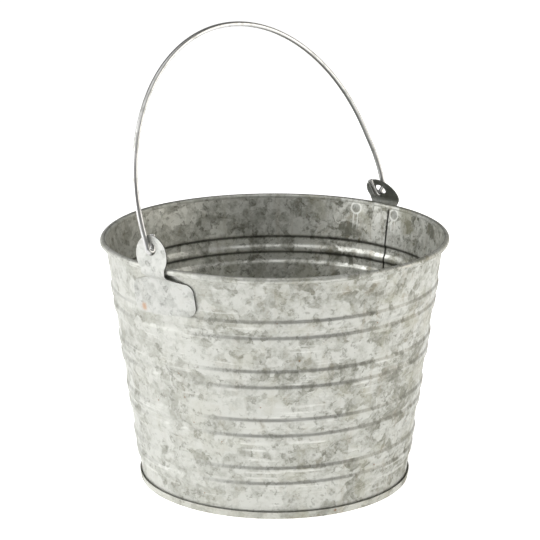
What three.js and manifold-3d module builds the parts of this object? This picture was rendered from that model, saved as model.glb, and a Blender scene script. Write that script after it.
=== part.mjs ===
// A galvanised sheet-steel florist bucket: a tapered, ribbed wall rolled over a rim wire, a bottom
// seamed on by a folded chime, two stamped ears, and a round wire bail that swings in the ears.
// Millimetres, +Z up. The origin is the middle of the base. +X runs from the near ear to the far ear.

import * as THREE from "three";
import { mergeVertices } from "three/addons/utils/BufferGeometryUtils.js";
import Module from "manifold-3d";

const wasm = await Module();
wasm.setup();

// ---- Driving dimensions -------------------------------------------------------------------------

const gap = 0.3; // air left between pieces that touch on the real bucket

// The bucket as a whole
const bucketHeight = 202.5; // floor surface to the top of the rim
const rimRadius = 140; // outside of the rolled rim
const baseRadius = 108.2; // outside of the wall at the very bottom
const wallSheet = 0.6; // thickness of the wall and the bottom

// The rolled rim
const rimWireRadius = 1.6;
const curlEnd = THREE.MathUtils.degToRad(-130); // where the sheet's edge stops under the wire

// The rolled ribs, which stand in pairs
const ribPairs = 4;
const topPairDrop = 47; // rim top to the middle of the top pair
const bottomPairHeight = 33.2; // base to the middle of the bottom pair
const ribSpacing = 13.3; // between the two crests of a pair
const ribWidth = 11.5;
const ribHeight = 1.2;

// The lapped side seam, inside the wall beside the far ear
const seamEdgeAngle = THREE.MathUtils.degToRad(-4);
const seamWidth = 12;
const seamRimDrop = 4.5; // rim top to the upper end of the lap

// The bottom and its chime
const floorHeight = 6; // base to the top face of the bottom
const chimeHeight = 5.8;
const hookHeight = 4.4; // how high the wall's turned-up edge stands inside the chime

// The ears: a plate on the wall, a neck that steps out past the curl, and a round tab
const earSheet = 0.9;
const earRimGap = 0.4; // between the curl and the ear that passes it
const plateWidth = 63;
const plateCorner = 8;
const plateDrop = 12.8; // rim top to the plate's upper corners
const plateFoot = 1.5; // uppermost crest up to the plate's lower edge
const shoulderRise = 3.8; // how much the plate's upper edge climbs from a corner to the neck
const neckWidth = 23.8;
const jogRise = 1.3; // plate's upper corners up to where the ear starts to step out
const jogLength = 6.3; // height over which it steps out
const tabRadius = 16;
const tabRise = 8.5; // rim top to the centre of the round tab
const crownWidth = 4.5; // the short flat at the top of the tab
const holeRise = 13.8; // rim top to the centre of the hole
const holeRadius = 5;
const nearEarTwist = THREE.MathUtils.degToRad(5); // the near ear was welded on a little askew
const leanRise = 3; // rim top to the line where the far ear is bent inwards
const leanBendRadius = 3;
const farEarLean = THREE.MathUtils.degToRad(33);

// The bail
const bailWireRadius = 2.1;
const bailSpread = 0.9; // how much wider the wire's half circle is than the rim
const bailRise = 18.8; // from the pivot line up to the centre of the half circle
const easeEnd = 50; // pivot line up to where the far leg starts to ease outwards
const hookRise = 13; // pivot line up to the tip of the near hook
const hookOpening = THREE.MathUtils.degToRad(16); // how far the near hook's tip leans inwards
const farCrossing = 4; // how far the far hook runs on past the tab before it turns up
const farHookLength = 12; // straight length of the far hook's tip
const farTipLean = THREE.MathUtils.degToRad(17); // how far that tip leans inwards
const bailLean = THREE.MathUtils.degToRad(18.67); // how far it leans towards +Y at rest
const swingLow = THREE.MathUtils.degToRad(95); // how far from upright the bail swings each way

// How finely round shapes are divided
const around = 48;
const wireSides = 10;
const curlSteps = 8;
const archSteps = 44;
const easeSteps = 9;
const earColumns = 8;
const cornerSteps = 4;

// ---- Sizes worked out from the driving dimensions -------------------------------------------------

const curlRadius = rimWireRadius + gap + wallSheet;
const curlCentre = new THREE.Vector2(rimRadius - curlRadius, bucketHeight - curlRadius);
const taper = (curlCentre.x - curlRadius + wallSheet - baseRadius) / curlCentre.y;
const ribPitch = (bucketHeight - topPairDrop - bottomPairHeight) / (ribPairs - 1);
const topCrest = bucketHeight - topPairDrop + ribSpacing / 2; // height of the uppermost crest
const neckX = rimRadius + earRimGap + earSheet / 2;
const pivotHeight = bucketHeight + holeRise - holeRadius + gap + bailWireRadius;

// Outside radius of the plain wall at a height.
const wallAt = (z) => baseRadius + taper * z;

// ---- Helpers --------------------------------------------------------------------------------------

// A closed geometry as a manifold-3d solid.
function toSolid(geometry) {
  const bare = geometry.clone();
  bare.deleteAttribute("normal");
  bare.deleteAttribute("uv");
  const merged = mergeVertices(bare, 1e-4);
  const vertProperties = new Float32Array(merged.attributes.position.array);
  const triVerts = new Uint32Array(merged.index.array);
  return new wasm.Manifold(new wasm.Mesh({ numProp: 3, vertProperties, triVerts }));
}

// A manifold-3d solid as a geometry.
function toGeometry(solid) {
  const { vertProperties, triVerts } = solid.getMesh();
  const geometry = new THREE.BufferGeometry();
  geometry.setAttribute("position", new THREE.BufferAttribute(vertProperties, 3));
  geometry.setIndex(new THREE.BufferAttribute(triVerts, 1));
  geometry.computeVertexNormals();
  return geometry;
}

// A closed (radius, height) outline turned round the Z axis.
function turned(outline) {
  const lathe = new THREE.LatheGeometry(outline, around);
  return lathe.rotateX(Math.PI / 2);
}

// Points on an arc in the (radius, height) plane, both ends included.
function arc(centre, radius, from, to, steps) {
  return Array.from({ length: steps + 1 }, (_, i) => {
    const angle = from + ((to - from) * i) / steps;
    return new THREE.Vector2(
      centre.x + radius * Math.cos(angle),
      centre.y + radius * Math.sin(angle),
    );
  });
}

// A curve through given stations that is sampled station by station, so tight bends keep their points.
class WireLine extends THREE.Curve {
  constructor(stations) {
    super();
    this.stations = stations;
  }
  getPoint(t, target = new THREE.Vector3()) {
    const place = t * (this.stations.length - 1);
    const i = Math.min(Math.floor(place), this.stations.length - 2);
    return target.lerpVectors(this.stations[i], this.stations[i + 1], place - i);
  }
  getPointAt(u, target) {
    return this.getPoint(u, target);
  }
  getTangent(t, target = new THREE.Vector3()) {
    const half = 0.5 / (this.stations.length - 1);
    const ahead = this.getPoint(Math.min(t + half, 1));
    return target.copy(ahead).sub(this.getPoint(Math.max(t - half, 0))).normalize();
  }
  getTangentAt(u, target) {
    return this.getTangent(u, target);
  }
}

function namedMesh(name, geometry, color, roughness) {
  const material = new THREE.MeshStandardMaterial({ color, roughness, metalness: 1 });
  const mesh = new THREE.Mesh(geometry, material);
  mesh.name = name;
  return mesh;
}

// ---- The wall -------------------------------------------------------------------------------------

// Corner points of one rib as (height, proud) pairs, from its lower to its upper end.
function ribCorners(crest) {
  return [
    [crest - ribWidth / 2, 0],
    [crest - ribWidth / 6, ribHeight],
    [crest + ribWidth / 6, ribHeight],
    [crest + ribWidth / 2, 0],
  ];
}

// One face of the ribbed sheet, from bottom to top, set in from the outside face by an inset.
function ribbedFace(inset, lowest, highest) {
  const face = [new THREE.Vector2(wallAt(lowest) - inset, lowest)];
  for (let pair = 0; pair < ribPairs; pair += 1) {
    const middle = bottomPairHeight + pair * ribPitch;
    for (const crest of [middle - ribSpacing / 2, middle + ribSpacing / 2]) {
      for (const [z, proud] of ribCorners(crest)) {
        face.push(new THREE.Vector2(wallAt(z) - inset + proud, z));
      }
    }
  }
  face.push(new THREE.Vector2(wallAt(highest) - inset, highest));
  return face;
}

// The wall's lower edge is turned out and up, so that the chime can grip it.
function hookedEdge() {
  const low = wallSheet + gap;
  const out = (z, offset) => new THREE.Vector2(wallAt(z) + offset, z);
  return [
    out(low, -wallSheet),
    out(low, gap + wallSheet),
    out(hookHeight, gap + wallSheet),
    out(hookHeight, gap),
    out(low + wallSheet, gap),
  ];
}

// The lap: a second layer of sheet on the inside, which starts with a free edge at the seam.
function seamLap() {
  const lowest = floorHeight + gap;
  const highest = bucketHeight - seamRimDrop;
  const bite = wallSheet / 2; // how far the lap reaches into the wall to join it
  const inner = ribbedFace(wallSheet * 2, lowest, highest);
  const outer = ribbedFace(wallSheet - bite, lowest, highest).reverse();
  const liner = toSolid(turned([...inner, ...outer, inner[0]].reverse()));
  const reach = rimRadius * 1.2;
  const span = seamWidth / curlCentre.x;
  const sector = new THREE.Shape();
  sector.moveTo(0, 0);
  for (const angle of [seamEdgeAngle, seamEdgeAngle + span / 2, seamEdgeAngle + span]) {
    sector.lineTo(reach * Math.cos(angle), reach * Math.sin(angle));
  }
  const wedge = new THREE.ExtrudeGeometry(sector, { depth: bucketHeight, bevelEnabled: false });
  return liner.intersect(toSolid(wedge));
}

function wall() {
  const hookInside = wallSheet * 2 + gap; // height of the inside of the hooked edge
  const outer = ribbedFace(0, hookInside, curlCentre.y);
  const curlOutside = arc(curlCentre, curlRadius, Math.PI, curlEnd, curlSteps);
  const curlInside = arc(curlCentre, curlRadius - wallSheet, curlEnd, Math.PI, curlSteps);
  const inner = ribbedFace(wallSheet, hookInside - wallSheet, curlCentre.y).reverse();
  const outline = [
    ...hookedEdge().slice(1),
    ...outer.slice(0, -1),
    ...curlInside.reverse(),
    ...curlOutside.reverse(),
    ...inner.slice(1),
  ];
  outline.push(outline[0]);
  return toGeometry(toSolid(turned(outline)).add(seamLap()));
}

// ---- The rim wire, the bottom ---------------------------------------------------------------------

function rimWire() {
  const outline = arc(curlCentre, rimWireRadius, 0, 2 * Math.PI, 8);
  outline[outline.length - 1] = outline[0];
  return turned(outline);
}

function bottom() {
  const leg = (z, offset) => new THREE.Vector2(wallAt(z) + offset, z);
  const innerLeg = -wallSheet - gap;
  const outerLeg = 2 * gap + wallSheet;
  return turned([
    new THREE.Vector2(0, floorHeight - wallSheet),
    leg(floorHeight - wallSheet, innerLeg - wallSheet),
    leg(0, innerLeg - wallSheet),
    leg(0, outerLeg + wallSheet),
    leg(chimeHeight, outerLeg + wallSheet),
    leg(chimeHeight, outerLeg),
    leg(wallSheet, outerLeg),
    leg(wallSheet, innerLeg),
    leg(floorHeight, innerLeg),
    new THREE.Vector2(0, floorHeight),
  ]);
}

// ---- The ears -------------------------------------------------------------------------------------

const plateTop = bucketHeight - plateDrop;
const plateBottom = topCrest + plateFoot;
const jogStart = plateTop + jogRise;
const leanHeight = bucketHeight + leanRise;
const holeHeight = bucketHeight + holeRise;

// How far the ear has stepped out past the curl at a height: 0 on the plate, 1 on the neck.
const jogAt = (h) => THREE.MathUtils.smoothstep(h, jogStart, jogStart + jogLength);

// The middle of the ear's sheet, as (out, up), for a height measured on the upright ear.
function earMiddle(h, lean) {
  const seat = ribHeight * THREE.MathUtils.clamp((plateTop - h) / (plateTop - plateBottom), 0, 1);
  const plateX = wallAt(Math.min(h, jogStart)) + seat + gap + earSheet / 2;
  const upright = new THREE.Vector2(THREE.MathUtils.lerp(plateX, neckX, jogAt(h)), h);
  if (lean === 0 || h <= leanHeight) return upright;
  const turn = Math.min(lean, (h - leanHeight) / leanBendRadius);
  const straight = h - leanHeight - turn * leanBendRadius;
  const bendIn = leanBendRadius * (1 - Math.cos(turn)) + straight * Math.sin(turn);
  const bendUp = leanBendRadius * Math.sin(turn) + straight * Math.cos(turn);
  return new THREE.Vector2(neckX - bendIn, leanHeight + bendUp);
}

// The right-hand edge of the flat blank: a rounded plate, a sloping shoulder, a neck and a round tab.
function earEdge() {
  const half = plateWidth / 2;
  const neck = neckWidth / 2;
  const waist = -Math.acos(neck / tabRadius);
  const crown = Math.acos(crownWidth / 2 / tabRadius);
  const edge = new THREE.Path();
  edge.moveTo(half - plateCorner, plateBottom);
  edge.absarc(half - plateCorner, plateBottom + plateCorner, plateCorner, -Math.PI / 2, 0, false);
  edge.absarc(half - plateCorner, plateTop - plateCorner, plateCorner, 0, Math.PI / 2, false);
  edge.lineTo(neck, plateTop + shoulderRise);
  edge.absarc(0, bucketHeight + tabRise, tabRadius, waist, crown, false);
  return edge.getPoints(cornerSteps);
}

// Rows across the blank as (half width, height), with extra rows where the ear is bent.
function earRows() {
  const edge = earEdge();
  const bends = [0, 0.2, 0.4, 0.6, 0.8, 1].map((share) => jogStart + share * jogLength);
  const leans = [0, 0.5, 1].map((share) => leanHeight + share * leanBendRadius * farEarLean);
  const extra = [...bends, ...leans].map((h) => {
    const above = edge.findIndex((point) => point.y > h);
    const [a, b] = [edge[above - 1], edge[above]];
    return new THREE.Vector2().lerpVectors(a, b, (h - a.y) / (b.y - a.y));
  });
  const rows = [...edge, ...extra].sort((a, b) => a.y - b.y);
  const closest = 0.02; // rows nearer than this are one row
  return rows.filter((row, i) => i === 0 || row.y - rows[i - 1].y > closest);
}

// The blank is a grid of sheet, turned in its own plane by the twist and then bent. The hole is
// punched through it last.
function ear(lean, twist) {
  const rows = earRows();
  const sheet = new THREE.BoxGeometry(2, 1, 1, earColumns, rows.length - 1, 1);
  const place = sheet.attributes.position;
  const hole = new THREE.Vector2(0, holeHeight);
  const nudge = 0.01; // how far apart two points are taken to find the sheet's direction
  for (let i = 0; i < place.count; i += 1) {
    const row = rows[Math.round((place.getY(i) + 0.5) * (rows.length - 1))];
    const flat = new THREE.Vector2(place.getX(i) * row.x, row.y).rotateAround(hole, twist);
    const off = place.getZ(i) * earSheet;
    const middle = earMiddle(flat.y, lean);
    const below = earMiddle(flat.y - nudge, lean);
    const along = earMiddle(flat.y + nudge, lean).sub(below).normalize();
    const bend = (1 - jogAt(flat.y)) / middle.x;
    const turn = flat.x * bend;
    const sag = bend > 0 ? (1 - Math.cos(turn)) / bend : 0;
    const side = bend > 0 ? Math.sin(turn) / bend : flat.x;
    place.setXYZ(
      i,
      middle.x - sag + off * along.y * Math.cos(turn),
      side + off * along.y * Math.sin(turn),
      middle.y - off * along.x,
    );
  }
  return toGeometry(toSolid(sheet).subtract(toSolid(punch(lean))));
}

// The punch stands square to the tab at the hole's centre.
function punch(lean) {
  const centre = earMiddle(holeHeight, lean);
  const length = 10 * earSheet; // well past both faces
  const cylinder = new THREE.CylinderGeometry(holeRadius, holeRadius, length, around / 2);
  return cylinder
    .rotateZ(Math.PI / 2)
    .rotateY(-lean)
    .translate(centre.x, 0, centre.y);
}

// ---- The bail -------------------------------------------------------------------------------------

// Distance from the middle of an ear's sheet to the middle of the wire that runs beside it, which
// is also the radius of the wire's bends through the ears.
const besideEar = earSheet / 2 + gap + bailWireRadius;
const hookBend = besideEar;
const nearLeg = -(neckX + besideEar);
const bailRadius = rimRadius + bailSpread; // of the wire's centre line in the half circle
const bailCentre = new THREE.Vector2(nearLeg + bailRadius, bailRise);

// Where the leaning far tab crosses the pivot line, and how far out the wire's foot stands there so
// that it still clears the tab with the bail swung right down.
const farHole = earMiddle(holeHeight, farEarLean);
const farTabX = farHole.x + (farHole.y - pivotHeight) * Math.tan(farEarLean);
const swingDrop = -tabRadius * Math.cos(swingLow);
const farFoot = farTabX + swingDrop * Math.tan(farEarLean) + besideEar / Math.cos(farEarLean);

// The near hook, from its tip down inside the tab, through the hole and up outside it.
function nearHook() {
  const bend = new THREE.Vector2(nearLeg + hookBend, hookBend);
  const turnUp = arc(bend, hookBend, -hookOpening, -Math.PI, 8);
  const reach = (hookRise - turnUp[0].y) / Math.cos(hookOpening);
  const tip = new THREE.Vector2(Math.sin(hookOpening), Math.cos(hookOpening));
  return [tip.multiplyScalar(reach).add(turnUp[0]), ...turnUp];
}

// Distance out to the far leg's centre line at a height above the pivot line, before it is eased.
function farLegX(t) {
  const over = Math.max(t - bailRise, 0);
  return bailCentre.x + Math.sqrt(bailRadius ** 2 - over ** 2);
}

// The half circle, and the far leg below it that eases outwards to the foot.
function arch() {
  const lastAngle = Math.asin((easeEnd - bailRise) / bailRadius);
  const round = arc(bailCentre, bailRadius, Math.PI, lastAngle, archSteps);
  const leg = Array.from({ length: easeSteps }, (_, i) => {
    const t = THREE.MathUtils.lerp(easeEnd, tabRadius, (i + 1) / easeSteps);
    const out = 1 - THREE.MathUtils.smoothstep(t, tabRadius, easeEnd);
    return new THREE.Vector2(THREE.MathUtils.lerp(farLegX(t), farFoot, out), t);
  });
  return [...round, ...leg];
}

// The far hook: the wire turns in, crosses the leaning tab square to it on the pivot line, and then
// turns up, steeper than the tab.
function farHook() {
  const lean = farEarLean;
  const crossing = new THREE.Vector2(farTabX, 0);
  const inward = new THREE.Vector2(-Math.cos(lean), -Math.sin(lean));
  const upTab = new THREE.Vector2(-Math.sin(lean), Math.cos(lean));
  const upTip = new THREE.Vector2(-Math.sin(farTipLean), Math.cos(farTipLean));
  const footTurn = Math.PI / 2 - lean;
  const run = (farFoot - farTabX - hookBend * (1 - Math.cos(footTurn))) / Math.cos(lean);
  const footHeight = run * Math.sin(lean) + hookBend * Math.sin(footTurn);
  const foot = new THREE.Vector2(farFoot - hookBend, footHeight);
  const heel = crossing.clone().addScaledVector(inward, farCrossing);
  heel.addScaledVector(upTab, hookBend);
  const turnIn = arc(foot, hookBend, 0, -footTurn, 4);
  const turnUp = arc(heel, hookBend, -footTurn, farTipLean - Math.PI, 6);
  const tip = turnUp[turnUp.length - 1].clone().addScaledVector(upTip, farHookLength);
  return [...turnIn, ...turnUp, tip];
}

function bail() {
  const line = [...nearHook(), ...arch(), ...farHook()];
  const stations = line.map((point) => new THREE.Vector3(point.x, 0, point.y));
  const section = new THREE.Shape(arc({ x: 0, y: 0 }, bailWireRadius, 0, 2 * Math.PI, wireSides));
  return new THREE.ExtrudeGeometry(section, {
    steps: stations.length - 1,
    bevelEnabled: false,
    extrudePath: new WireLine(stations),
  });
}

// ---- Assembly -------------------------------------------------------------------------------------

const bucket = new THREE.Group();

const zinc = 0xb9bcb4;
bucket.add(namedMesh("wall", wall(), zinc, 0.45));
bucket.add(namedMesh("rim_wire", rimWire(), 0x8d9090, 0.4));
bucket.add(namedMesh("bottom", bottom(), 0xaeb1aa, 0.5));

const nearEar = namedMesh("near_ear", ear(0, nearEarTwist), 0xc9cbc6, 0.4);
nearEar.rotation.z = Math.PI;
bucket.add(nearEar);
bucket.add(namedMesh("far_ear", ear(farEarLean, 0), 0x8b908a, 0.45));

const swing = new THREE.Group();
swing.position.z = pivotHeight;
swing.rotation.x = -bailLean;
swing.add(namedMesh("bail", bail(), 0xc4c4c2, 0.25));
bucket.add(swing);

export default bucket;
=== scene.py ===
# %% [markdown]
# # A galvanised florist bucket
# The bucket is sheet steel dipped in zinc: a tapered wall with four pairs of rolled ribs, a rim
# rolled over a wire, a bottom seamed on by a folded chime, two stamped ears and a wire bail. The
# CAD frame says where each piece is and how it moves. This lesson models the fine surface of each
# piece in the same place, and paints it with zinc spangle, stains and a few freckles of rust.

# %% Load the frame
import math

import bmesh
import bpy
from mathutils import Matrix, Vector, noise


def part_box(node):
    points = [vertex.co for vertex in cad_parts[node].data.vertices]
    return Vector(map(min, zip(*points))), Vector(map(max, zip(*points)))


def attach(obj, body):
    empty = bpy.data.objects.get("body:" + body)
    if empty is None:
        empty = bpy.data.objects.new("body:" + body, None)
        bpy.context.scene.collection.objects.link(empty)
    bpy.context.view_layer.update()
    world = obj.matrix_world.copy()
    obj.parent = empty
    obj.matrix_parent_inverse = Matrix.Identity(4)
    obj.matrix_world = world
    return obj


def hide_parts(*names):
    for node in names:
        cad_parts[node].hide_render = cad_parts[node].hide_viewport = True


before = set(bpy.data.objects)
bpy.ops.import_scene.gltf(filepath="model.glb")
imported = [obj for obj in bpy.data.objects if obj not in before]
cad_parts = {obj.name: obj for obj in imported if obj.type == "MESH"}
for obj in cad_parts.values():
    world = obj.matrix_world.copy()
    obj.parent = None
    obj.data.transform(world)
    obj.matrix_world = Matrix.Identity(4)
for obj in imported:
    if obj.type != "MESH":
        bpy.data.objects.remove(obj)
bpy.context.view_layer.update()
print("frame nodes:", sorted(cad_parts))

# %% [markdown]
# ## Sizes
# Lengths are written in millimetres and turned into metres where a mesh is made, because the real
# pail is measured that way. They are the bucket's own driving sizes, the same as the frame's, and
# everything else is worked out from them.

# %% Driving sizes
MM = 0.001
GAP = 0.3                 # air between pieces that touch on the real bucket
SHEET = 0.6
RIM_TOP = 202.5
RIM_RADIUS = 140.0
BASE_RADIUS = 108.2
RIM_WIRE_RADIUS = 1.6
CURL_END = math.radians(-130)

RIB_PAIRS = 4
TOP_PAIR = RIM_TOP - 47.0
BOTTOM_PAIR = 33.2
RIB_SPACING = 13.3
RIB_WIDTH = 11.5
RIB_HEIGHT = 1.2
RIB_FLANK = 3.4           # height over which a rib rises

FLOOR_HEIGHT = 6.0
CHIME_HEIGHT = 5.8
HOOK_HEIGHT = 4.4

SEAM_EDGE = math.radians(-4)
SEAM_WIDTH = 12.0

AROUND = 192              # steps in a full turn

curl_radius = RIM_WIRE_RADIUS + GAP + SHEET
curl_r = RIM_RADIUS - curl_radius
curl_z = RIM_TOP - curl_radius
taper = (curl_r - curl_radius + SHEET - BASE_RADIUS) / curl_z
rib_pitch = (TOP_PAIR - BOTTOM_PAIR) / (RIB_PAIRS - 1)
crests = [
    BOTTOM_PAIR + pair * rib_pitch + side * RIB_SPACING / 2
    for pair in range(RIB_PAIRS)
    for side in (-1, 1)
]
wall_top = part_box("wall")[1][2]
print("rib crests at", [round(crest, 1) for crest in crests])
print("top of the wall:", RIM_TOP, "mm here and", round(wall_top / MM, 2), "mm in the frame")

# %% [markdown]
# ## Outlines
# A turned piece starts as an outline in the plane y = 0, given as (radius, height) points. An arc
# gives the round stretches and a formula gives the ribs, so that no outline is a list of typed
# numbers.

# %% Outline helpers
def arc(centre, radius, start, end, steps):
    """Points on an arc from one angle to another, both ends included."""
    turn = (end - start) / steps
    return [
        (centre[0] + radius * math.cos(start + i * turn), centre[1] + radius * math.sin(start + i * turn))
        for i in range(steps + 1)
    ]


def plain_radius(z):
    """Outside radius of the wall at a height, without its ribs."""
    return BASE_RADIUS + taper * z


def smooth(value, low, high):
    """0 below low and 1 above high, with a smooth climb between."""
    t = max(0.0, min(1.0, (value - low) / (high - low)))
    return t * t * (3 - 2 * t)


def ribbed_radius(z):
    """Outside radius of the wall at a height. Each rib has steep flanks and a flat crest."""
    inside = max(RIB_WIDTH / 2 - abs(z - crest) for crest in crests)
    return plain_radius(z) + RIB_HEIGHT * smooth(inside, 0, RIB_FLANK)


def ribbed_face(inset, lowest, highest, step=0.8):
    """One face of the wall from bottom to top, as an outline set in from the outside."""
    count = round((highest - lowest) / step)
    heights = [lowest + (highest - lowest) * i / count for i in range(count + 1)]
    return [(ribbed_radius(z) - inset, z) for z in heights]


print("a rib stands", round(ribbed_radius(crests[0]) - plain_radius(crests[0]), 2), "mm proud")

# %% [markdown]
# ## A real pail is never quite round
# Sheet this thin is knocked about before it reaches a shop. The rim dips a little on one side, and
# the wall is a fraction of a millimetre out of true. The ribs were rolled a little out of square as
# well, so they climb on one side. A function of place gives that, so the wall, the rim wire and the
# seam all move together and nothing comes apart.

# %% Knocks and dips
DIP_ANGLE = math.radians(131)
DIP_DEPTH = 1.7
DIP_WIDTH = 0.42                     # in radians round the rim
DENT_DEPTH = 0.3
BROAD_DENTS = 14                     # how many to the metre
SMALL_DENTS = 40
SLANT = 1.3                          # how far the ribs climb above true on their high side
SLANT_ANGLE = math.radians(-48.5)    # where that side is


def worn(place):
    """Where a point of a true bucket lies on this one. In metres."""
    angle = math.atan2(place.y, place.x)
    height = max(0.0, min(1.0, place.z / (RIM_TOP * MM)))
    away = math.remainder(angle - DIP_ANGLE, math.tau) / DIP_WIDTH
    dip = DIP_DEPTH * MM * math.exp(-away * away) * height ** 4
    dent = noise.noise(place * BROAD_DENTS) + 0.4 * noise.noise(place * SMALL_DENTS)
    radial = Vector((place.x, place.y, 0)).normalized()
    push = DENT_DEPTH * MM * dent * math.sin(math.pi * min(height, 0.97))
    slant = SLANT * MM * math.cos(angle - SLANT_ANGLE)
    slant *= smooth(height, 0.02, 0.12) * (1 - smooth(height, 0.86, 0.99))
    return place + radial * push + Vector((0, 0, slant - dip))


rim_at_dip = Vector((RIM_RADIUS * math.cos(DIP_ANGLE), RIM_RADIUS * math.sin(DIP_ANGLE), RIM_TOP))
print("the rim's low side is", round(worn(rim_at_dip * MM).z / MM, 1), "mm up")

# %% [markdown]
# ## From an outline to an object
# Spinning an outline round the Z axis with `bmesh.ops.spin` is what a metal spinner's lathe does.
# The spun mesh is then made an object that rides on a body of the frame, and it stands for the
# frame's plainer piece.

# %% Mesh helpers
def add_outline(bm, outline, closed=True):
    """Draws an outline of (radius, height) points in the plane y = 0, in metres."""
    points = [bm.verts.new((r * MM, 0, z * MM)) for r, z in outline]
    edges = [bm.edges.new(pair) for pair in zip(points, points[1:])]
    if closed:
        edges.append(bm.edges.new((points[-1], points[0])))
    return points, edges


def spin(outline, closed=True, steps=AROUND):
    """Turns an outline through a full circle round the Z axis."""
    bm = bmesh.new()
    points, edges = add_outline(bm, outline, closed)
    bmesh.ops.spin(
        bm, geom=points + edges, cent=(0, 0, 0), axis=(0, 0, 1),
        angle=math.tau, steps=steps, use_merge=True, use_duplicate=False,
    )
    bmesh.ops.remove_doubles(bm, verts=bm.verts[:], dist=1e-6)
    bmesh.ops.recalc_face_normals(bm, faces=bm.faces[:])
    return bm


def finish_mesh(bm, name, body, node, finishes, sharp=40):
    """Closes a bmesh into an object that rides on a body and stands for a CAD node."""
    mesh = bpy.data.meshes.new(name)
    bm.to_mesh(mesh)
    bm.free()
    mesh.shade_smooth()
    mesh.set_sharp_from_angle(angle=math.radians(sharp))
    piece = bpy.data.objects.new(name, mesh)
    bpy.context.scene.collection.objects.link(piece)
    for finish in finishes:
        mesh.materials.append(finish)
    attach(piece, body)
    if node:
        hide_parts(node)
    print(f"{name}: {len(mesh.vertices)} vertices, {len(mesh.polygons)} faces")
    return piece


print("a full turn has", AROUND, "steps")

# %% [markdown]
# ## Shader maths
# A finish is a small program. `Value` wraps a node's output, so that ordinary Python arithmetic adds
# the Math nodes. `Shading.node` adds any other node: its settings are set first, and then the values
# or links of its sockets. A `Finish` is the shading of one material.

# %% Value, Shading and Finish
class Value:
    """A quantity that varies over a surface."""

    def __init__(self, shading, socket):
        self.shading = shading
        self.socket = socket

    def _math(self, operation, first, second):
        return self.shading.node("Math", {"operation": operation}, {0: first, 1: second})

    def __add__(self, other):
        return self._math("ADD", self, other)

    def __radd__(self, other):
        return self._math("ADD", other, self)

    def __sub__(self, other):
        return self._math("SUBTRACT", self, other)

    def __rsub__(self, other):
        return self._math("SUBTRACT", other, self)

    def __mul__(self, other):
        return self._math("MULTIPLY", self, other)

    def __rmul__(self, other):
        return self._math("MULTIPLY", other, self)

    def __abs__(self):
        return self._math("ABSOLUTE", self, 0)


class Shading:
    """The nodes of a material or of the sky."""

    def __init__(self, tree):
        self.tree = tree

    def node(self, kind, settings=None, inputs=None, output=0):
        made = self.tree.nodes.new("ShaderNode" + kind)
        for key, value in (settings or {}).items():
            setattr(made, key, value)
        for key, value in (inputs or {}).items():
            self.feed(made.inputs[key], value)
        return Value(self, made.outputs[output])

    def feed(self, socket, value):
        if isinstance(value, Value):
            self.tree.links.new(value.socket, socket)
        else:
            socket.default_value = value

    def part(self, colour, axis):
        """One number, x, y or z, out of a colour or a vector."""
        return self.node("SeparateXYZ", {}, {0: colour}, axis)

    def vector(self, operation, first, second):
        return self.node("VectorMath", {"operation": operation}, {0: first, 1: second})

    def measure(self, operation, first, second=(0, 0, 0)):
        """A vector operation whose answer is one number, such as a distance."""
        return self.node("VectorMath", {"operation": operation}, {0: first, 1: second}, 1)

    def ramp(self, value, low, high):
        """0 below low and 1 above high, with a smooth climb between. high may be the lower one."""
        inputs = {"Value": value, "From Min": low, "From Max": high}
        return self.node("MapRange", {"interpolation_type": "SMOOTHSTEP"}, inputs)


class Finish(Shading):
    """One procedural material on a Principled shader."""

    def __init__(self, name, metallic):
        self.material = bpy.data.materials.new(name)
        self.material.use_nodes = True
        super().__init__(self.material.node_tree)
        self.shader = self.tree.nodes["Principled BSDF"]
        self.shader.inputs["Metallic"].default_value = metallic
        self.place = self.node("TexCoord", output=3)

    def set(self, name, value):
        self.feed(self.shader.inputs[name], value)

    def noise(self, size, detail=2.0, roughness=0.5, at=None, output=0):
        """Soft clouds whose features are about this many millimetres across, from 0 to 1."""
        inputs = {"Vector": at or self.place, "Scale": 1 / (size * MM), "Detail": detail,
                  "Roughness": roughness}
        return self.node("TexNoise", {}, inputs, output)

    def cells(self, size, at, feature="F1", output=1, smoothness=None):
        """Crystal cells of about this size in millimetres."""
        inputs = {"Vector": at, "Scale": 1 / (size * MM)}
        if smoothness is not None:
            inputs["Smoothness"] = smoothness
        return self.node("TexVoronoi", {"feature": feature}, inputs, output)

    def mix(self, factor, first, second):
        """A blend of two colours."""
        a, b = [c if isinstance(c, Value) else (*c, 1.0) for c in (first, second)]
        return self.node("Mix", {"data_type": "RGBA"}, {0: factor, 6: a, 7: b}, 2)

    def bump(self, height, strength, depth):
        """Relief of a depth in millimetres."""
        inputs = {"Height": height, "Strength": strength, "Distance": depth * MM}
        self.set("Normal", self.node("Bump", {}, inputs))


print("a finish can:", [name for name in vars(Finish) if not name.startswith("_")])

# %% [markdown]
# ## The zinc
# Hot-dip zinc freezes in crystals, the spangle. Each flake has its own tone and its own way of
# catching the light, so a Voronoi texture whose cells each carry a random colour is the natural
# start. Its place is warped by noise first, because straight cell walls look like tiles. Broad
# clouds say where the dark flakes gather, and stains and freckles come on top.

# %% Galvanised sheet
STAIN = (0.27, 0.225, 0.15)
OLIVE = (0.31, 0.30, 0.21)
RUST = (0.22, 0.09, 0.03)
RIBS_HIGH_SIDE = (math.cos(SLANT_ANGLE), math.sin(SLANT_ANGLE), 0.0)    # where the ribs climb, turned from the big light: the zinc is painted darker there, as painted shade and as stain


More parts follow.
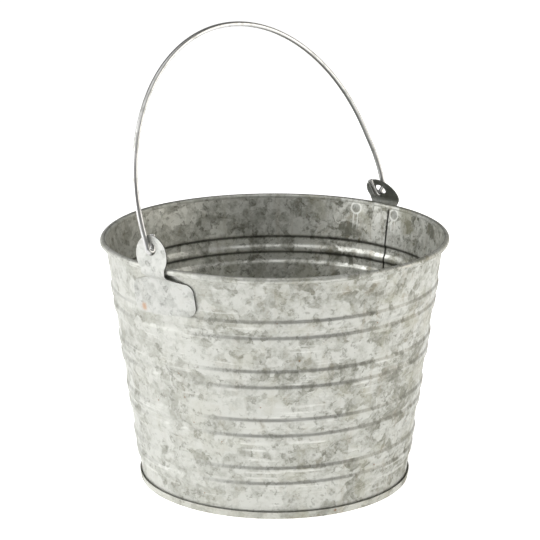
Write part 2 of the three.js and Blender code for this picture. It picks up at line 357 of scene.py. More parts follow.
def zinc(name, light, dark, flake=11.0, contrast=1.0, stain=0.6, roughness=0.46):
    """Spangle between a light and a dark colour. A flake's size is in millimetres."""
    f = Finish(name, metallic=0.7)
    drift = f.vector("SUBTRACT", f.noise(10, 3, 0.6, output=1), (0.5, 0.5, 0.5))
    warp = f.vector("ADD", f.place, f.vector("MULTIPLY", drift, (0.011, 0.011, 0.009)))

    big = f.part(f.cells(flake, warp, "SMOOTH_F1", smoothness=0.25), 0)
    small = f.part(f.cells(flake * 0.42, warp), 1)
    edge = f.cells(flake * 0.75, warp, "DISTANCE_TO_EDGE", 0)
    cloud = f.noise(38, 3)
    grain = f.noise(2.4, 3, 0.65)
    fine = f.noise(0.7, 2)

    swirl = f.noise(6, 4, 0.62, at=warp)
    tone = big * 0.30 + small * 0.20 + cloud * 0.7 + grain * 0.40 + swirl * 0.5
    # Dark flakes, scallops and stains are made denser on the side turned from the big light. That paints
    # shade on that side as well as stain.
    side = f.measure("DOT_PRODUCT", f.place, RIBS_HIGH_SIDE)
    soiled = f.ramp(side, -0.11, 0.13) * 0.7 + 0.3
    flakes = f.ramp(tone, 0.86, 1.40) * (soiled * 0.55 + 0.5) * contrast
    chips = f.ramp(small + cloud * 0.6, 1.10, 1.24) * f.ramp(grain, 0.40, 0.62) * contrast
    scallop = f.ramp(edge, 0.11, 0.02) * f.ramp(f.noise(4.5, 2), 0.54, 0.64) * contrast
    colour = f.mix(flakes, light, dark)
    colour = f.mix(scallop * (soiled * 0.45 + 0.15), colour, tuple(0.75 * c for c in dark))
    deep = tuple(0.55 * c for c in dark)
    colour = f.mix(chips * 0.4, colour, deep)

    olive = f.ramp(f.noise(26, 4, 0.6, at=warp), 0.50, 0.66) * soiled * stain
    brown = f.ramp(f.noise(15, 4, 0.65, at=warp), 0.58, 0.72) * soiled * stain
    colour = f.mix(olive * 0.6, colour, OLIVE)
    colour = f.mix(brown * 0.65, colour, STAIN)
    runs = f.noise(7, 3, 0.6, at=f.vector("MULTIPLY", f.place, (1.0, 1.0, 0.16)))
    colour = f.mix(f.ramp(runs, 0.54, 0.70) * soiled * stain * 0.45, colour, STAIN)
    return f, colour, {"big": big, "small": small, "grain": grain, "fine": fine,
                       "flakes": flakes, "scallop": scallop, "roughness": roughness,
                       "soiled": soiled}


def freckles(f, colour, share=0.06, size=17.0):
    """Pin-holes in the zinc where a little rust has come through."""
    spot = f.cells(size, f.place, output=0)
    return f.mix(f.ramp(spot, share, share * 0.45) * 0.7, colour, RUST)


def close_zinc(f, colour, t, relief=0.25):
    """Colour, sheen and relief of a zinc finish onto its shader."""
    f.set("Base Color", colour)
    rough = t["big"] * 0.16 + t["flakes"] * 0.10 + t["fine"] * 0.08 + (t["roughness"] - 0.14)
    f.set("Roughness", rough)
    relief_map = t["big"] * 0.5 + t["small"] * 0.3 + t["grain"] * 0.6 + t["fine"] * 0.15
    f.bump(relief_map - t["scallop"] * 0.4, 0.55, relief)
    return f.material


print("stains gather at", round(math.degrees(SLANT_ANGLE), 1), "degrees from +X")

# %% [markdown]
# ## Painted shade and scuffs
# Dark lines are painted along the upper flanks of the ribs and along the top of the rim. They are painted
# shade, because the lights alone drew those lines too faint. Each is a thin band of height or radius,
# broken up by the same grain as the zinc, so that it doesn't look ruled. The rollers leave bright scuffs
# too, which are noise drawn out round the wall.

# %% Marks on the sheet
SHADE_LINE_COLOUR = (0.10, 0.10, 0.085)
SCUFF = (0.70, 0.705, 0.67)


def level_height(f):
    """Height above the floor, measured along the slant that the ribs were rolled on."""
    side = f.measure("DOT_PRODUCT", f.place, RIBS_HIGH_SIDE)
    return f.part(f.place, 2) - side * (SLANT / RIM_RADIUS)


def rim_shade_line(f, t):
    """A thin dark line of painted shade along the top of the rim's curl, just inside its crown."""
    flat = f.vector("MULTIPLY", f.place, (1.0, 1.0, 0.0))
    radius = f.measure("LENGTH", flat)
    off = abs(radius - (curl_r - 0.9) * MM)
    on_top = f.ramp(f.part(f.place, 2), (RIM_TOP - 4.5) * MM, (RIM_TOP - 3.0) * MM)
    return f.ramp(off, 0.75 * MM, 0.3 * MM) * on_top * f.ramp(t["grain"], 0.2, 0.5)


def rolling_marks(f):
    """Bright scuffs that the rib rollers leave, in long thin lines round the wall."""
    line = f.noise(3.0, 2, 0.6, at=f.vector("MULTIPLY", f.place, (0.05, 0.05, 1.0)))
    return f.ramp(line, 0.56, 0.70) * f.ramp(f.noise(30, 2), 0.45, 0.60)


print("grime lies along", len(crests), "ribs and round the rim")

# %% Outside finish
def wall_outside():
    f, colour, t = zinc("zinc_outside", (0.515, 0.52, 0.485), (0.255, 0.255, 0.215), flake=10.0,
                        roughness=0.50)
    # Each rib gets a dark line of painted shade along its upper flank, stronger on the side turned from
    # the big light.
    for crest in crests:
        level = crest + (RIB_WIDTH - RIB_FLANK) / 2
        painted_shade = abs(level_height(f) - level * MM)
        line = f.ramp(painted_shade, 1.9 * MM, 0.7 * MM) * t["soiled"] * f.ramp(t["grain"], 0.15, 0.45)
        colour = f.mix(line * 0.42, colour, SHADE_LINE_COLOUR)
    # A thin dark line of painted shade along the top of the rim.
    colour = f.mix(rim_shade_line(f, t) * 0.6, colour, SHADE_LINE_COLOUR)
    colour = freckles(f, colour)
    colour = f.mix(rolling_marks(f) * 0.5, colour, SCUFF)
    return close_zinc(f, colour, t)


outside_finish = wall_outside()
print("finish:", outside_finish.name)

# %% [markdown]
# ## The inside of the wall
# The inside is more stained than the outside, and its light tone is made lighter than the outside's:
# painted light, since it is the same sheet. It shows how the pail was put together: a shadow along the
# free edge of the side seam, and a round scorched mark with a drip below it wherever an ear was
# spot-welded on from outside. They have no depth to speak of, so they are painted. Dark lines of painted
# shade lie in the top two grooves as well.

# %% Inside finish
WELD_HEIGHT = 195.0
WELD_TURNS = (math.radians(10.3), math.radians(-6.9))    # measured from the middle of an ear
INSIDE_LINE = 0.34        # how far up a rib's width the painted shade line lies on this side
SEAM_SHADOW = (0.03, 0.03, 0.025)
GROOVE_SHADE = (0.05, 0.05, 0.04)
SCORCH = (0.20, 0.205, 0.19)
FRESH_ZINC = (0.80, 0.805, 0.77)


def seam_shadow(f, x, y, z):
    """A thin dark line beside the seam's edge, on that side of the pail and below the rim only."""
    off_seam = abs(x * -math.sin(SEAM_EDGE) + y * math.cos(SEAM_EDGE) + 0.45 * MM)
    return f.ramp(off_seam, 0.9 * MM, 0.35 * MM) * f.ramp(x, 0.05, 0.06) * f.ramp(z, 0.2, 0.199)


def weld_mark(f, colour, t, turn, x, y, z):
    """A scorched disc in a bright ring, with a drip that runs down from it in two bright lines."""
    spot = Vector((math.cos(turn), math.sin(turn), 0)) * plain_radius(WELD_HEIGHT)
    spot.z = WELD_HEIGHT
    away = f.measure("DISTANCE", f.place, spot * MM) + t["grain"] * 0.0012
    beside = abs(x * -math.sin(turn) + y * math.cos(turn) + (t["grain"] - 0.5) * 0.0014)
    facing = x * math.cos(turn) + y * math.sin(turn)
    below = WELD_HEIGHT * MM - z
    drip = f.ramp(beside, 2.9 * MM, 2.3 * MM) * f.ramp(beside, 1.0 * MM, 1.7 * MM)
    drip = drip * f.ramp(below, 3 * MM, 5 * MM) * f.ramp(below, 19 * MM, 12 * MM)
    drip = drip * f.ramp(facing, 0.05, 0.06)
    ring = f.ramp(away, 6.4 * MM, 5.5 * MM) * f.ramp(away, 4.2 * MM, 5.0 * MM)
    disc = f.ramp(away, 5.0 * MM, 3.6 * MM)
    colour = f.mix(disc * 0.5, colour, SCORCH)
    return f.mix(ring * 0.85 + drip * 0.7, colour, FRESH_ZINC)


def wall_inside():
    # The light tone is lighter than the outside's though it is the same sheet: painted light inside the
    # pail.
    f, colour, t = zinc("zinc_inside", (0.69, 0.695, 0.65), (0.20, 0.20, 0.165), flake=12.0,
                        contrast=1.15, stain=0.8, roughness=0.42)
    x, y, z = (f.part(f.place, axis) for axis in range(3))
    # Dark lines of painted shade lie in the top two grooves inside.
    for crest in crests[-2:]:
        level = crest + RIB_WIDTH * INSIDE_LINE
        painted_shade = abs(level_height(f) - level * MM + (t["grain"] - 0.5) * 0.0008)
        colour = f.mix(f.ramp(painted_shade, 1.5 * MM, 0.5 * MM) * 0.75, colour, GROOVE_SHADE)
    colour = f.mix(seam_shadow(f, x, y, z) * 0.93, colour, SEAM_SHADOW)
    for ear_turn in (0.0, math.pi):
        for turn in WELD_TURNS:
            colour = weld_mark(f, colour, t, ear_turn + turn, x, y, z)
    return close_zinc(f, colour, t)


inside_finish = wall_inside()
print("finish:", inside_finish.name)

# %% [markdown]
# ## The wall
# The wall is one sheet with two faces. Its outline runs up the outside, round the curl that holds
# the rim wire, back down the inside, and ends in the turned-up edge that the chime grips. Spinning
# one closed outline keeps the sheet's thickness true everywhere, which a solidified surface
# wouldn't at the tight curl.

# %% Wall
def out(z, offset):
    """A point at a height, this far outside the plain wall."""
    return (plain_radius(z) + offset, z)


def wall_outline():
    low = SHEET + GAP
    outer = ribbed_face(0, low + SHEET, curl_z)
    inner = ribbed_face(SHEET, low, curl_z)[::-1]
    round_outside = arc((curl_r, curl_z), curl_radius, math.pi, CURL_END, 30)
    round_inside = arc((curl_r, curl_z), curl_radius - SHEET, CURL_END, math.pi, 26)
    hook = [out(low, GAP + SHEET), out(HOOK_HEIGHT, GAP + SHEET), out(HOOK_HEIGHT, GAP),
            out(low + SHEET, GAP)]
    return hook + outer[:-1] + round_inside[::-1] + round_outside[::-1] + inner[1:]


def make_wall():
    bm = spin(wall_outline())
    for face in bm.faces:
        middle = face.calc_center_median()
        inward = face.normal.x * middle.x + face.normal.y * middle.y < 0
        below_curl = middle.z < (curl_z - 0.5) * MM
        face.material_index = 1 if inward and below_curl else 0
    for vert in bm.verts:
        vert.co = worn(vert.co)
    finish_mesh(bm, "bucket_wall", "bucket", "wall",
                [outside_finish, inside_finish])


make_wall()

# %% [markdown]
# ## The side seam
# The sheet's two ends lap behind the far ear, and inside the pail one end shows as a strip with a
# free edge. Here the wall's inner outline is spun through only the width of the lap, and the two
# open ends of that short spin are filled.

# %% Seam
SEAM_TOP = RIM_TOP - 4.5
SEAM_SINK = 0.06          # how deep the lap is let into the wall, so that no light shows behind it


def make_seam():
    lowest = FLOOR_HEIGHT + GAP
    inner = ribbed_face(SHEET * 2, lowest, SEAM_TOP)
    outer = ribbed_face(SHEET - SEAM_SINK, lowest, SEAM_TOP)
    bm = bmesh.new()
    points, edges = add_outline(bm, inner + outer[::-1])
    bmesh.ops.rotate(bm, verts=points, cent=(0, 0, 0), matrix=Matrix.Rotation(SEAM_EDGE, 3, "Z"))
    bmesh.ops.spin(
        bm, geom=points + edges, cent=(0, 0, 0), axis=(0, 0, 1), angle=SEAM_WIDTH / curl_r,
        steps=6, use_merge=False, use_duplicate=False,
    )
    bmesh.ops.holes_fill(bm, edges=bm.edges[:], sides=0)
    bmesh.ops.recalc_face_normals(bm, faces=bm.faces[:])
    for vert in bm.verts:
        vert.co = worn(vert.co)
    finish_mesh(bm, "side_seam", "bucket", None, [inside_finish])


make_seam()

# %% [markdown]
# ## The wire's finish
# Drawn wire is smoother and brighter than dipped sheet. It has faint darker specks and a few dull
# patches where the zinc is thick. The rim wire and the bail share it.

# %% Wire finish
WIRE_TONE = 0.54


def wire_zinc():
    f = Finish("bright_wire", metallic=1.0)
    patch = f.noise(7, 3)
    speck = f.noise(1.6, 4, 0.7)
    dull = f.ramp(patch, 0.5, 0.68)
    bright = tuple(WIRE_TONE * share for share in (1.0, 1.0, 0.98))
    greyed = tuple(WIRE_TONE * share for share in (0.62, 0.62, 0.58))
    colour = f.mix(dull * 0.5, bright, greyed)
    colour = f.mix(f.ramp(speck, 0.60, 0.72) * 0.35, colour, (0.26, 0.25, 0.22))
    f.set("Base Color", colour)
    f.set("Roughness", dull * 0.12 + speck * 0.10 + 0.24)
    f.bump(patch * 0.6 + speck * 0.4, 0.12, 0.1)
    return f.material


wire_finish = wire_zinc()
print("finish:", wire_finish.name)

# %% [markdown]
# ## The rim wire and the bottom
# Both are turned. The wire is a circle, spun. The bottom's outline starts on the axis, runs out under
# the floor, folds round the wall's turned-up edge and comes back over the floor to the axis, so it
# is the pan and its chime in one.

# %% Rim wire
def make_rim_wire():
    bm = spin(arc((curl_r, curl_z), RIM_WIRE_RADIUS, 0, math.tau, 16)[:-1])
    for vert in bm.verts:
        vert.co = worn(vert.co)
    finish_mesh(bm, "rim_core", "bucket", "rim_wire", [wire_finish])


make_rim_wire()

# %% Bottom
FOOT_RADIUS = 0.7
FLOOR_RINGS = (0, 30, 60, 90)        # radii that keep the floor's faces short


def bottom_zinc():
    f, colour, t = zinc("zinc_bottom", (0.50, 0.50, 0.455), (0.28, 0.28, 0.24), stain=0.9)
    return close_zinc(f, freckles(f, colour, 0.09), t)


def make_bottom():
    inner_leg = -SHEET - GAP
    outer_leg = 2 * GAP + SHEET
    fold = SHEET / 2
    chime_lip = arc(out(CHIME_HEIGHT - fold, outer_leg + fold), fold, 0, math.pi, 6)
    foot_out = arc(out(FOOT_RADIUS, outer_leg + SHEET - FOOT_RADIUS), FOOT_RADIUS, -math.pi / 2, 0, 5)
    foot_in = arc(out(FOOT_RADIUS, inner_leg - SHEET + FOOT_RADIUS), FOOT_RADIUS,
                  -math.pi, -math.pi / 2, 5)
    underside = [(r, FLOOR_HEIGHT - SHEET) for r in FLOOR_RINGS]
    topside = [(r, FLOOR_HEIGHT) for r in reversed(FLOOR_RINGS)]
    outline = (
        underside
        + [out(FLOOR_HEIGHT - SHEET, inner_leg - SHEET)]
        + foot_in + foot_out + chime_lip
        + [out(SHEET, outer_leg), out(SHEET, inner_leg), out(FLOOR_HEIGHT, inner_leg)]
        + topside
    )
    bm = spin(outline, closed=False)
    finish_mesh(bm, "bucket_bottom", "bucket", "bottom", [bottom_zinc()])


make_bottom()

# %% [markdown]
# ## The ears
# Each ear is stamped from flat sheet and bent in a press: a plate that lies on the wall, a neck that
# steps out past the curl, and a round tab with a hole. So it is made that way here. The flat blank is
# filled from its outline and its hole, cut into narrow strips, and then every point is moved to where
# the press puts it. Solidify gives the sheet its thickness and Bevel softens the sheared edge.

# %% Ear sizes
EAR_SHEET = 0.9
EAR_RIM_GAP = 0.4
PLATE_WIDTH = 63.0
PLATE_CORNER = 8.0
PLATE_DROP = 12.8         # from the rim down to the plate's top
PLATE_FOOT = 1.5          # from the top rib's crest up to its foot
SHOULDER_RISE = 3.8
SHOULDER_SAG = 0.8        # how far the fillet is let down into the shoulder
NECK_FILLET = 1.6
NECK_WIDTH = 23.8
JOG_RISE = 1.3            # from the plate's top to where the sheet starts to step out
JOG_LENGTH = 6.3          # the height over which it does
TAB_RADIUS = 16.0
TAB_HEIGHT = RIM_TOP + 8.5
HOLE_HEIGHT = RIM_TOP + 13.8
HOLE_RADIUS = 5.0
NEAR_TWIST = math.radians(5)
LEAN_HEIGHT = RIM_TOP + 3.0
LEAN_BEND = 3.0           # radius of the bend that leans the far tab in
FAR_LEAN = math.radians(33)

plate_top = RIM_TOP - PLATE_DROP
plate_bottom = crests[-1] + PLATE_FOOT
jog_start = plate_top + JOG_RISE
neck_x = RIM_RADIUS + EAR_RIM_GAP + EAR_SHEET / 2
print("plate from", round(plate_bottom, 1), "to", round(plate_top, 1), "mm; neck", neck_x, "mm out")

# %% The blank and the press
def ear_outline():
    """The right-hand edge of the blank from the plate's foot to the crown, and its mirror image."""
    half = PLATE_WIDTH / 2
    neck = NECK_WIDTH / 2
    waist = -math.acos(neck / TAB_RADIUS)
    right = arc((half - PLATE_CORNER, plate_bottom + PLATE_CORNER), PLATE_CORNER, -math.pi / 2, 0, 10)
    right += arc((half - PLATE_CORNER, plate_top - PLATE_CORNER), PLATE_CORNER, 0, math.pi / 2 - 0.1, 10)
    right += arc((neck + NECK_FILLET, plate_top + SHOULDER_RISE + NECK_FILLET - SHOULDER_SAG),
                 NECK_FILLET, -math.pi / 2 - 0.2, -math.pi, 5)
    right += arc((0, TAB_HEIGHT), TAB_RADIUS, waist + 0.04, math.pi / 2, 24)
    return right + [(-u, h) for u, h in right[-2::-1]]


def ear_middle(h, lean):
    """The middle of the bent sheet, as (out, up), for a height on the upright blank."""
    share = max(0.0, min(1.0, (plate_top - h) / (plate_top - plate_bottom)))
    plate_x = plain_radius(min(h, jog_start)) + RIB_HEIGHT * share + GAP + EAR_SHEET / 2
    step = smooth(h, jog_start, jog_start + JOG_LENGTH)
    x = plate_x + (neck_x - plate_x) * step
    if not lean or h <= LEAN_HEIGHT:
        return x, h
    turn = min(lean, (h - LEAN_HEIGHT) / LEAN_BEND)
    straight = h - LEAN_HEIGHT - turn * LEAN_BEND
    x -= LEAN_BEND * (1 - math.cos(turn)) + straight * math.sin(turn)
    return x, LEAN_HEIGHT + LEAN_BEND * math.sin(turn) + straight * math.cos(turn)


def pressed(u, h, lean):
    """Where the press puts a point of the flat blank. In millimetres."""
    x, z = ear_middle(h, lean)
    curve = (1 - smooth(h, jog_start, jog_start + JOG_LENGTH)) / x
    if curve > 1e-9:
        return Vector((x - (1 - math.cos(u * curve)) / curve, math.sin(u * curve) / curve, z))
    return Vector((x, u, z))


print("points on the blank's edge:", len(ear_outline()))

# %% Ear maker
WELD_DIMPLES = [(-17.0, 180.5), (17.0, 180.5)]
DIMPLE_DEPTH = 0.28
DIMPLE_FLAT = 1.5
DIMPLE_EDGE = 4.2
STRIP_HEIGHT = 1.13       # the flat blank is cut into strips before it is bent
STRIP_WIDTH = 2.61
EDGE_ROUND = 0.22

strips_up = math.ceil((TAB_HEIGHT + TAB_RADIUS - plate_bottom) / STRIP_HEIGHT)
strips_aside = int(PLATE_WIDTH / 2 / STRIP_WIDTH)
print("strips:", strips_up, "up and", strips_aside, "to each side")


def cut_blank(bm, point, normal):
    """Cuts every face of the blank along one line."""
    everything = bm.verts[:] + bm.edges[:] + bm.faces[:]
    bmesh.ops.bisect_plane(bm, geom=everything, dist=1e-4, plane_co=point, plane_no=normal)


def make_ear(name, node, lean, twist, side, finishes):
    bm = bmesh.new()
    hole = arc((0, HOLE_HEIGHT), HOLE_RADIUS, 0, math.tau, 40)[:-1]
    for loop in (ear_outline(), hole):
        points = [bm.verts.new((u, h, 0)) for u, h in loop]
        for pair in zip(points, points[1:] + points[:1]):
            bm.edges.new(pair)
    bmesh.ops.triangle_fill(bm, use_beauty=True, use_dissolve=True, edges=bm.edges[:])
    bmesh.ops.rotate(bm, verts=bm.verts[:], cent=(0, HOLE_HEIGHT, 0),
                     matrix=Matrix.Rotation(twist, 3, "Z"))
    for row in range(strips_up):
        cut_blank(bm, (0, plate_bottom + STRIP_HEIGHT * row, 0), (0, 1, 0))
    for column in range(-strips_aside, strips_aside + 1):
        cut_blank(bm, (column * STRIP_WIDTH, 0, 0), (1, 0, 0))
    for vert in bm.verts:
        u, h = vert.co.x, vert.co.y
        place = pressed(u, h, lean)
        for weld_u, weld_h in WELD_DIMPLES:
            away = math.hypot(u - weld_u, h - weld_h)
            place.x -= DIMPLE_DEPTH * (1 - smooth(away, DIMPLE_FLAT, DIMPLE_EDGE))
        vert.co = Vector((place.x * side, place.y * side, place.z)) * MM
    bmesh.ops.remove_doubles(bm, verts=bm.verts[:], dist=1e-6)
    bmesh.ops.recalc_face_normals(bm, faces=bm.faces[:])
    piece = finish_mesh(bm, name, "bucket", node, finishes, sharp=60)
    sheet = piece.modifiers.new("sheet", "SOLIDIFY")
    sheet.thickness = EAR_SHEET * MM
    sheet.offset = 0
    sheet.use_even_offset = True
    # The rim faces take the second finish, the cut edge painted dark as painted shade.
    sheet.material_offset_rim = 1
    edge = piece.modifiers.new("edge", "BEVEL")
    edge.width = EDGE_ROUND * MM
    edge.segments = 2
    edge.limit_method = "ANGLE"
    edge.angle_limit = math.radians(55)


# %% [markdown]
# ## The ears' finishes
# The near ear is the cleanest piece, with one spot of rust on its plate. The far ear's tab is painted
# darker where it stands above the rim, as painted shade for the dark inside of the pail that it leans
# over. Both have a second material on the cut edge, painted almost black as painted shade on the thin
# edge and in the gap behind the plate.

# %% Ear finishes and ears
RUST_SPOT = Vector((-131.5, 16.5, 166.5))
EAR_RUST = (0.42, 0.24, 0.13)
FAR_TAB_SHADE = (0.10, 0.11, 0.095)


def near_zinc():
    f, colour, t = zinc("zinc_near_ear", (0.50, 0.505, 0.48), (0.33, 0.335, 0.31), flake=9.0,
                        contrast=1.15, stain=0.3, roughness=0.46)
    away = f.measure("DISTANCE", f.place, RUST_SPOT * MM)
    spot = f.ramp(away + t["grain"] * 0.003, 0.0062, 0.0025)
    colour = f.mix(spot * 0.75, colour, EAR_RUST)
    return close_zinc(f, colour, t, 0.18)


def far_zinc():
    f, colour, t = zinc("zinc_far_ear", (0.50, 0.505, 0.48), (0.31, 0.315, 0.29), flake=7.0,
                        contrast=1.0, stain=0.5, roughness=0.40)
    # The tab above the rim is painted darker: painted shade for the dark inside of the pail that it leans
    # over.
    tab_shade = f.ramp(f.part(f.place, 2), (RIM_TOP - 2) * MM, (RIM_TOP + 3) * MM)
    colour = f.mix(tab_shade * 0.68, colour, FAR_TAB_SHADE)
    return close_zinc(f, colour, t, 0.18)


def shaded_cut_edge():
    """The cut edge of the stamping, painted almost black: painted shade on the thin edge and in the gap
    where the plate stands off the wall.
    """
    f = Finish("shaded_cut_edge", metallic=0.6)
    f.set("Base Color", f.mix(f.noise(1.5, 3), (0.05, 0.05, 0.045), (0.15, 0.15, 0.135)))
    f.set("Roughness", f.noise(2, 2) * 0.2 + 0.45)
    return f.material


shaded_edge_finish = shaded_cut_edge()
make_ear("near_ear_stamping", "near_ear", 0.0, NEAR_TWIST, -1, [near_zinc(), shaded_edge_finish])
make_ear("far_ear_stamping", "far_ear", FAR_LEAN, 0.0, 1, [far_zinc(), shaded_edge_finish])

# %% [markdown]
# ## The bail
# The bail is one length of round wire. It is bent in a plane, so its route is a line of stations in
# that plane: arcs for the half circle and the hooks, straight stretches between. A circle of wire is
# then carried along the route, extruded and turned a little at each station. Last, the whole bail is
# leaned back about the line through the ears, as it stands at rest.

# %% Bail sizes
WIRE_RADIUS = 2.1
BAIL_SPREAD = 0.9         # how much the half circle's radius is over the rim's
BAIL_RISE = 18.8          # height of its middle above the line that the bail turns about
EASE_END = 50.0           # height above that line where the far leg starts to ease outwards
HOOK_RISE = 13.0
HOOK_OPENING = math.radians(16)
FAR_CROSSING = 4.0        # how far the wire goes in through the far tab before it turns up
FAR_HOOK_LENGTH = 12.0
FAR_TIP_LEAN = math.radians(17)
BAIL_LEAN = math.radians(18.67)
SWING_LOW = math.radians(95)
EASE_STEPS = 24

pivot_height = HOLE_HEIGHT - HOLE_RADIUS + GAP + WIRE_RADIUS
beside_ear = EAR_SHEET / 2 + GAP + WIRE_RADIUS
near_leg = -(neck_x + beside_ear)
bail_radius = RIM_RADIUS + BAIL_SPREAD
bail_middle = (near_leg + bail_radius, BAIL_RISE)
far_hole_x, far_hole_z = ear_middle(HOLE_HEIGHT, FAR_LEAN)
far_tab_x = far_hole_x + (far_hole_z - pivot_height) * math.tan(FAR_LEAN)
swing_drop = -TAB_RADIUS * math.cos(SWING_LOW)
far_foot = far_tab_x + swing_drop * math.tan(FAR_LEAN) + beside_ear / math.cos(FAR_LEAN)
print("the bail turns at", round(pivot_height, 1), "mm; its far foot is", round(far_foot, 1), "mm out")

# %% Bail route
def near_hook():
    """From the tip down inside the tab, through the hole and up outside it."""
    turn_up = arc((near_leg + beside_ear, beside_ear), beside_ear, -HOOK_OPENING, -math.pi, 14)
    x, t = turn_up[0]
    reach = (HOOK_RISE - t) / math.cos(HOOK_OPENING)
    tip = [
        (x + reach * share * math.sin(HOOK_OPENING), t + reach * share * math.cos(HOOK_OPENING))
        for share in (1, 0.5)
    ]
    return tip + turn_up


def arch():
    """The half circle, and the far leg that eases outwards to its foot."""
    last = math.asin((EASE_END - BAIL_RISE) / bail_radius)
    points = arc(bail_middle, bail_radius, math.pi, last, 110)
    for i in range(1, EASE_STEPS + 1):
        t = EASE_END + (TAB_RADIUS - EASE_END) * i / EASE_STEPS
        over = max(t - BAIL_RISE, 0)
        leg = bail_middle[0] + math.sqrt(bail_radius ** 2 - over ** 2)
        eased = 1 - smooth(t, TAB_RADIUS, EASE_END)
        points.append((leg + (far_foot - leg) * eased, t))
    return points


def far_hook():
    """In through the leaning tab, square to it, and then up, steeper than the tab."""
    cos, sin = math.cos(FAR_LEAN), math.sin(FAR_LEAN)
    foot_turn = math.pi / 2 - FAR_LEAN
    run = (far_foot - far_tab_x - beside_ear * (1 - math.cos(foot_turn))) / cos
    foot = (far_foot - beside_ear, run * sin + beside_ear * math.sin(foot_turn))
    heel = (far_tab_x - FAR_CROSSING * cos - beside_ear * sin, -FAR_CROSSING * sin + beside_ear * cos)
    points = arc(foot, beside_ear, 0, -foot_turn, 8)
    points += arc(heel, beside_ear, -foot_turn, FAR_TIP_LEAN - math.pi, 12)
    x, t = points[-1]
    for share in (0.5, 1):
        reach = FAR_HOOK_LENGTH * share
        points.append((x - reach * math.sin(FAR_TIP_LEAN), t + reach * math.cos(FAR_TIP_LEAN)))
    return points


print("stations along the bail:", len(near_hook() + arch() + far_hook()))

# %% Bail
TIP_BEVEL = 0.5


def make_bail(sides=24):
    route = near_hook() + arch() + far_hook()
    stations = [Vector((x, 0, t + pivot_height)) * MM for x, t in route]
    stations = [p for i, p in enumerate(stations) if i == 0 or (p - stations[i - 1]).length > 1e-5]
    headings = [(b - a).normalized() for a, b in zip(stations, stations[1:])]
    ways = [headings[0]] + [(a + b).normalized() for a, b in zip(headings, headings[1:])]
    ways.append(headings[-1])

    bm = bmesh.new()
    ring = bmesh.ops.create_circle(bm, cap_ends=True, radius=WIRE_RADIUS * MM, segments=sides)["verts"]
    way = Vector((0, 0, 1))
    place = Vector((0, 0, 0))
    edges = [e for e in bm.edges if e.is_boundary]
    for i, (station, next_way) in enumerate(zip(stations, ways)):
        if i > 0:
            made = bmesh.ops.extrude_edge_only(bm, edges=edges)["geom"]
            ring = [g for g in made if isinstance(g, bmesh.types.BMVert)]
            fresh = set(ring)
            edges = [g for g in made
                     if isinstance(g, bmesh.types.BMEdge) and all(v in fresh for v in g.verts)]
        turn = way.rotation_difference(next_way).to_matrix()
        bmesh.ops.rotate(bm, verts=ring, cent=place, matrix=turn)
        bmesh.ops.translate(bm, verts=ring, vec=station - place)
        way, place = next_way, station
    bmesh.ops.contextual_create(bm, geom=edges)
    bmesh.ops.recalc_face_normals(bm, faces=bm.faces[:])
    caps = [f for f in bm.faces if len(f.verts) == sides]
    rims = [e for e in bm.edges if any(f in caps for f in e.link_faces)]
    bmesh.ops.bevel(bm, geom=rims, offset=TIP_BEVEL * MM, offset_type="OFFSET", segments=3, profile=0.5,
                    affect="EDGES", material=-1)
    bmesh.ops.rotate(bm, verts=bm.verts[:], cent=(0, 0, pivot_height * MM),
                     matrix=Matrix.Rotation(-BAIL_LEAN, 3, "X"))
    finish_mesh(bm, "bail_wire", "bail", "bail", [wire_finish], sharp=50)


make_bail()

# %% [markdown]
# ## The studio
# The bucket stands on a plain white floor in soft light. A large box on the left gives the wall its
# bright side, and smaller ones above and low on the right fill in the rest. The sky is darker
# overhead than low down, which is what draws the line along the top of each rib, while the white
# floor lights each rib from below. It is darker as well where the viewer stands, as it is in a
# studio, so that the middle of the wall falls between two bright sides.

# %% Directions in the studio
HEADING = math.radians(41.5)          # the way the camera looks, from +X towards +Y
ahead = Vector((math.cos(HEADING), math.sin(HEADING), 0))
left = Vector((-math.sin(HEADING), math.cos(HEADING), 0))
bucket_middle = Vector((0, 0, RIM_TOP * MM / 2))
print("ahead", tuple(round(c, 3) for c in ahead), "left", tuple(round(c, 3) for c in left))

# %% Floor and sky
GROUND_SIZE = 40.0
GROUND_GLOW = 0.75
SKY_LOW = 0.42            # brightness near the horizon and overhead
SKY_HIGH = 0.14
BEHIND_VIEWER = 0.75      # the share of it that is left behind the viewer


def make_floor():
    bm = bmesh.new()
    bmesh.ops.create_grid(bm, x_segments=1, y_segments=1, size=GROUND_SIZE)
    mesh = bpy.data.meshes.new("studio_floor")
    bm.to_mesh(mesh)
    bm.free()
    floor = bpy.data.objects.new("studio_floor", mesh)
    bpy.context.scene.collection.objects.link(floor)
    f = Finish("floor_white", metallic=0.0)
    f.set("Base Color", f.mix(f.noise(300, 2), (0.93, 0.93, 0.93), (0.95, 0.95, 0.95)))
    f.set("Roughness", 0.9)
    f.set("Emission Color", (1.0, 1.0, 1.0, 1.0))
    f.set("Emission Strength", GROUND_GLOW)
    mesh.materials.append(f.material)


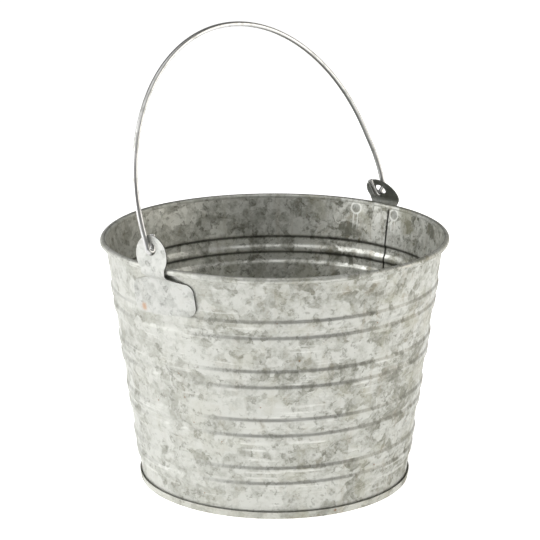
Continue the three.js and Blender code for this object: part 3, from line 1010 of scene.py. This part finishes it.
def make_sky():
    world = bpy.data.worlds.new("studio")
    world.use_nodes = True
    sky = Shading(world.node_tree)
    way = sky.node("TexCoord")
    climb = sky.ramp(sky.part(way, 2), 0.12, 0.75)
    behind = sky.ramp(sky.measure("DOT_PRODUCT", way, -ahead), 0.2, 0.95)
    strength = (climb * (SKY_HIGH - SKY_LOW) + SKY_LOW) * (1 - behind * (1 - BEHIND_VIEWER))
    back = world.node_tree.nodes["Background"]
    sky.feed(back.inputs["Strength"], strength)
    sky.feed(back.inputs["Color"], (1.0, 1.0, 0.99, 1.0))
    bpy.context.scene.world = world


make_floor()
make_sky()
print("sky from", SKY_LOW, "low down to", SKY_HIGH, "overhead")

# %% Soft boxes
def soft_box(name, aside, onward, up, size, power, colour=(1, 1, 1)):
    """A square light, placed in metres to the left, ahead and up, and turned to the bucket."""
    lamp = bpy.data.lights.new(name, "AREA")
    lamp.shape = "SQUARE"
    lamp.size = size
    lamp.energy = power
    lamp.color = colour
    box = bpy.data.objects.new(name, lamp)
    box.location = left * aside + ahead * onward + Vector((0, 0, up))
    box.rotation_euler = (bucket_middle - box.location).to_track_quat("-Z", "Y").to_euler()
    bpy.context.scene.collection.objects.link(box)
    print(f"{name}: {power} W, {size} m across")


soft_box("left_box", 2.8, -0.5, 1.2, size=3.0, power=76)
soft_box("top_box", 0.1, -0.6, 2.2, size=2.4, power=21)
soft_box("right_box", -1.9, 0.1, 0.45, size=1.7, power=19, colour=(1, 0.96, 0.89))

# %% [markdown]
# ## The camera
# A long lens from a little above the rim. The distance and height are measured to the middle of the
# bucket, and two small turns then frame the bail as well.

# %% Camera
CAMERA_DISTANCE = 1.81308
CAMERA_RISE = math.radians(17.327)
TILT_UP = math.radians(2.137)
TURN_LEFT = math.radians(0.123)
SENSOR = 36.0
LENS = 148.27

lens = bpy.data.cameras.new("camera")
lens.sensor_width = SENSOR
lens.lens = LENS
camera = bpy.data.objects.new("camera", lens)
camera.location = (
    bucket_middle
    - ahead * CAMERA_DISTANCE * math.cos(CAMERA_RISE)
    + Vector((0, 0, CAMERA_DISTANCE * math.sin(CAMERA_RISE)))
)
camera.rotation_euler = (
    math.pi / 2 - CAMERA_RISE + TILT_UP, 0, HEADING + TURN_LEFT - math.pi / 2
)
bpy.context.scene.collection.objects.link(camera)
bpy.context.scene.camera = camera
bpy.context.scene.view_settings.view_transform = "Standard"
print("camera at", tuple(round(c, 3) for c in camera.location))
